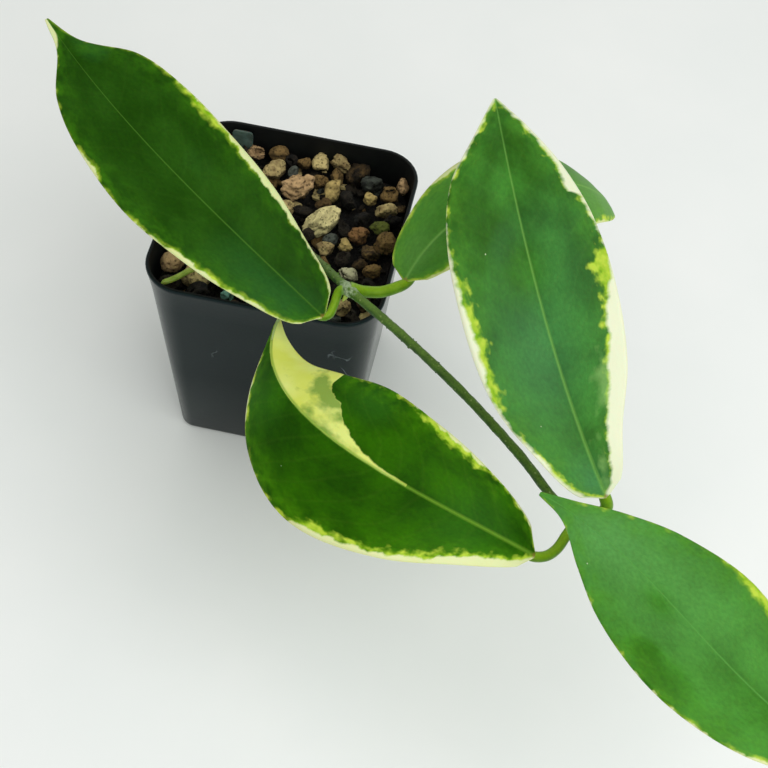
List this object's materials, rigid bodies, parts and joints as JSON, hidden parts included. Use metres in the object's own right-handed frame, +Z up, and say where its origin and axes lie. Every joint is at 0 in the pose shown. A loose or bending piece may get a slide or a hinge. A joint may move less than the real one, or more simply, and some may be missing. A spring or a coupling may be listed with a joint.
{
  "type": "potted hoya plant",
  "caption": "Young trailing hoya with long pointed leaves in opposite pairs on one arching vine, in a square tapered nursery pot of gritty mix.",
  "frame": {"origin": "centre of the pot's flat underside, on the surface that the pot stands on", "axes": "+Z up, X and Y along the pot's sides, the vine trails towards +X and -Y"},
  "size_m": [0.258, 0.1943, 0.1575],
  "materials": {
    "pot_plastic": "black blue-tinged moulded polypropylene with a soft satin sheen",
    "grit": "dry mix of beige pumice, brown lava, ochre and grey pebbles with dark bark",
    "stem": "olive green bark with fine pale specks",
    "shoot": "smooth light green young stem",
    "label_plastic": "grey-green translucent plastic, worn dull, with no writing",
    "leaf": "thick waxy leaf, deep green with ragged cream and yellow-green margins"
  },
  "bodies": {
    "root": {"pot": "pot_plastic", "grit_bed": "grit", "vine_stem": "stem", "side_shoot": "shoot", "plant_label": "label_plastic", "leaf_1_left": "leaf", "leaf_1_right": "leaf", "leaf_2_right": "leaf", "leaf_2_left": "leaf", "leaf_3": "leaf"}
  },
  "joints": []
}
